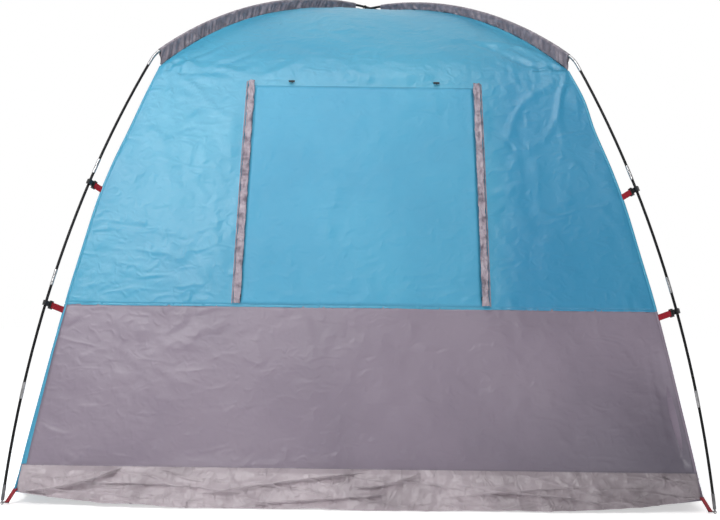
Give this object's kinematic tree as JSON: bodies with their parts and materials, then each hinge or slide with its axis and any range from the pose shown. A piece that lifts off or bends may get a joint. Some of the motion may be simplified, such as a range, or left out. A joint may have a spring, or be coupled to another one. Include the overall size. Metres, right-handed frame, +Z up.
{
  "type": "cross-pole cabin-dome tent",
  "caption": "Cabin-dome camping tent with two crossing jointed poles, clip-hung blue and grey walls, a zipped window flap, a zipped side door and a mud skirt.",
  "frame": {"origin": "on the ground under the apex, at the middle of the square footprint", "axes": "+X to the right of the window wall, +Y from the window wall to the rear, +Z up"},
  "size_m": [2.7892, 2.7892, 2.2579],
  "materials": {
    "rod": "gloss",
    "steel": "satin",
    "sleeve_fabric": "matte",
    "blue_fabric": "satin",
    "grey_fabric": "matte",
    "skirt_fabric": "satin",
    "groundsheet": "matte",
    "mesh": "matte",
    "hook_plastic": "satin",
    "red_webbing": "matte",
    "pin_steel": "satin",
    "zip_coil": "matte",
    "slider_metal": "satin",
    "shock_cord": "matte",
    "toggle_plastic": "satin",
    "black_cord": "matte"
  },
  "bodies": {
    "tent": {"apex_tie": "black_cord", "corner_pins": "pin_steel", "corner_rings": "pin_steel", "corner_straps": "red_webbing", "door_wall": "blue_fabric", "door_zip": "zip_coil", "elbow_front_left": "steel", "elbow_front_right": "steel", "elbow_rear_left": "steel", "elbow_rear_right": "steel", "ferrules": "steel", "groundsheet": "groundsheet", "leg_rods_front_left": "rod", "leg_rods_front_right": "rod", "leg_rods_rear_left": "rod", "leg_rods_rear_right": "rod", "lower_band_back": "grey_fabric", "lower_band_front": "grey_fabric", "lower_band_right": "grey_fabric", "pole_tips": "steel", "roof_panel_back": "blue_fabric", "roof_panel_front": "blue_fabric", "roof_panel_left": "blue_fabric", "roof_panel_right": "blue_fabric", "roof_rods_lower_pole": "rod", "roof_rods_upper_pole": "rod", "shock_cords": "shock_cord", "shoulder_patches": "grey_fabric", "skirt_back": "skirt_fabric", "skirt_front": "skirt_fabric", "skirt_left": "skirt_fabric", "skirt_right": "skirt_fabric", "sleeve_front_left": "sleeve_fabric", "sleeve_front_right": "sleeve_fabric", "sleeve_rear_left": "sleeve_fabric", "sleeve_rear_right": "sleeve_fabric", "straps": "red_webbing", "toggle_tabs": "black_cord", "upper_wall_back": "blue_fabric", "upper_wall_front": "blue_fabric", "upper_wall_right": "blue_fabric", "window_mesh": "mesh", "window_zips": "zip_coil"},
    "window_flap": {"window_flap": "blue_fabric"},
    "storm_strip_right": {"storm_strip_right": "sleeve_fabric"},
    "window_slider_right": {"window_slider_right": "slider_metal"},
    "window_toggle_right": {"window_toggle_right": "toggle_plastic"},
    "storm_strip_left": {"storm_strip_left": "sleeve_fabric"},
    "window_slider_left": {"window_slider_left": "slider_metal"},
    "window_toggle_left": {"window_toggle_left": "toggle_plastic"},
    "door_flap": {"door_flap": "blue_fabric"},
    "door_slider": {"door_slider": "slider_metal"},
    "hook_lower_front_left": {"hook_lower_front_left": "hook_plastic"},
    "hook_upper_front_left": {"hook_upper_front_left": "hook_plastic"},
    "hook_lower_front_right": {"hook_lower_front_right": "hook_plastic"},
    "hook_upper_front_right": {"hook_upper_front_right": "hook_plastic"},
    "hook_lower_rear_right": {"hook_lower_rear_right": "hook_plastic"},
    "hook_upper_rear_right": {"hook_upper_rear_right": "hook_plastic"},
    "hook_lower_rear_left": {"hook_lower_rear_left": "hook_plastic"},
    "hook_upper_rear_left": {"hook_upper_rear_left": "hook_plastic"}
  },
  "joints": [
    {"name": "window_flap_lift", "type": "hinge", "parent": "tent", "child": "window_flap", "pos_m": [0, -0.89624, 1.70596], "axis": [-1, 0, 0], "range_deg": [0, 110]},
    {"name": "storm_strip_right_fold", "type": "hinge", "parent": "tent", "child": "storm_strip_right", "pos_m": [0.5005, -1.05618, 1.24824], "axis": [-0.026, 0.2916, 0.9562], "range_deg": [0, 150]},
    {"name": "window_zip_right", "type": "hinge", "parent": "tent", "child": "window_slider_right", "pos_m": [0.54632, 7.79542, -1.45214], "axis": [-0.9996, 0, -0.0272], "range_deg": [0, 5.62]},
    {"name": "toggle_right_turn", "type": "hinge", "parent": "tent", "child": "window_toggle_right", "pos_m": [0.304, -0.89585, 1.7251], "axis": [0, -0.9388, 0.3444], "range_deg": [-90, 90]},
    {"name": "storm_strip_left_fold", "type": "hinge", "parent": "tent", "child": "storm_strip_left", "pos_m": [-0.5005, -1.05618, 1.24824], "axis": [-0.026, -0.2916, -0.9562], "range_deg": [0, 150]},
    {"name": "window_zip_left", "type": "hinge", "parent": "tent", "child": "window_slider_left", "pos_m": [-0.54632, 7.79542, -1.45214], "axis": [-0.9996, 0, 0.0272], "range_deg": [0, 5.62]},
    {"name": "toggle_left_turn", "type": "hinge", "parent": "tent", "child": "window_toggle_left", "pos_m": [-0.304, -0.89585, 1.7251], "axis": [0, -0.9388, 0.3444], "range_deg": [-90, 90]},
    {"name": "door_swing", "type": "hinge", "parent": "tent", "child": "door_flap", "pos_m": [-1.15675, 0.372, 0.86825], "axis": [-0.2515, 0, -0.9679], "range_deg": [0, 150]},
    {"name": "door_zip_run", "type": "hinge", "parent": "tent", "child": "door_slider", "pos_m": [8.12001, -0.376, -1.5461], "axis": [0, 1, 0], "range_deg": [0, 7.06]},
    {"name": "hook_lower_front_left_turn", "type": "hinge", "parent": "tent", "child": "hook_lower_front_left", "pos_m": [-1.22209, -1.22209, 0.76864], "axis": [0.2206, 0.2206, 0.9501], "range_deg": [0, 90]},
    {"name": "hook_upper_front_left_turn", "type": "hinge", "parent": "tent", "child": "hook_upper_front_left", "pos_m": [-1.08556, -1.08556, 1.25735], "axis": [0.2981, 0.2981, 0.9068], "range_deg": [0, 90]},
    {"name": "hook_lower_front_right_turn", "type": "hinge", "parent": "tent", "child": "hook_lower_front_right", "pos_m": [1.22209, -1.22209, 0.76864], "axis": [-0.2206, 0.2206, 0.9501], "range_deg": [0, 90]},
    {"name": "hook_upper_front_right_turn", "type": "hinge", "parent": "tent", "child": "hook_upper_front_right", "pos_m": [1.08556, -1.08556, 1.25735], "axis": [-0.2981, 0.2981, 0.9068], "range_deg": [0, 90]},
    {"name": "hook_lower_rear_right_turn", "type": "hinge", "parent": "tent", "child": "hook_lower_rear_right", "pos_m": [1.22209, 1.22209, 0.76864], "axis": [-0.2206, -0.2206, 0.9501], "range_deg": [0, 90]},
    {"name": "hook_upper_rear_right_turn", "type": "hinge", "parent": "tent", "child": "hook_upper_rear_right", "pos_m": [1.08556, 1.08556, 1.25735], "axis": [-0.2981, -0.2981, 0.9068], "range_deg": [0, 90]},
    {"name": "hook_lower_rear_left_turn", "type": "hinge", "parent": "tent", "child": "hook_lower_rear_left", "pos_m": [-1.22209, 1.22209, 0.76864], "axis": [0.2206, -0.2206, 0.9501], "range_deg": [0, 90]},
    {"name": "hook_upper_rear_left_turn", "type": "hinge", "parent": "tent", "child": "hook_upper_rear_left", "pos_m": [-1.08556, 1.08556, 1.25735], "axis": [0.2981, -0.2981, 0.9068], "range_deg": [0, 90]}
  ]
}
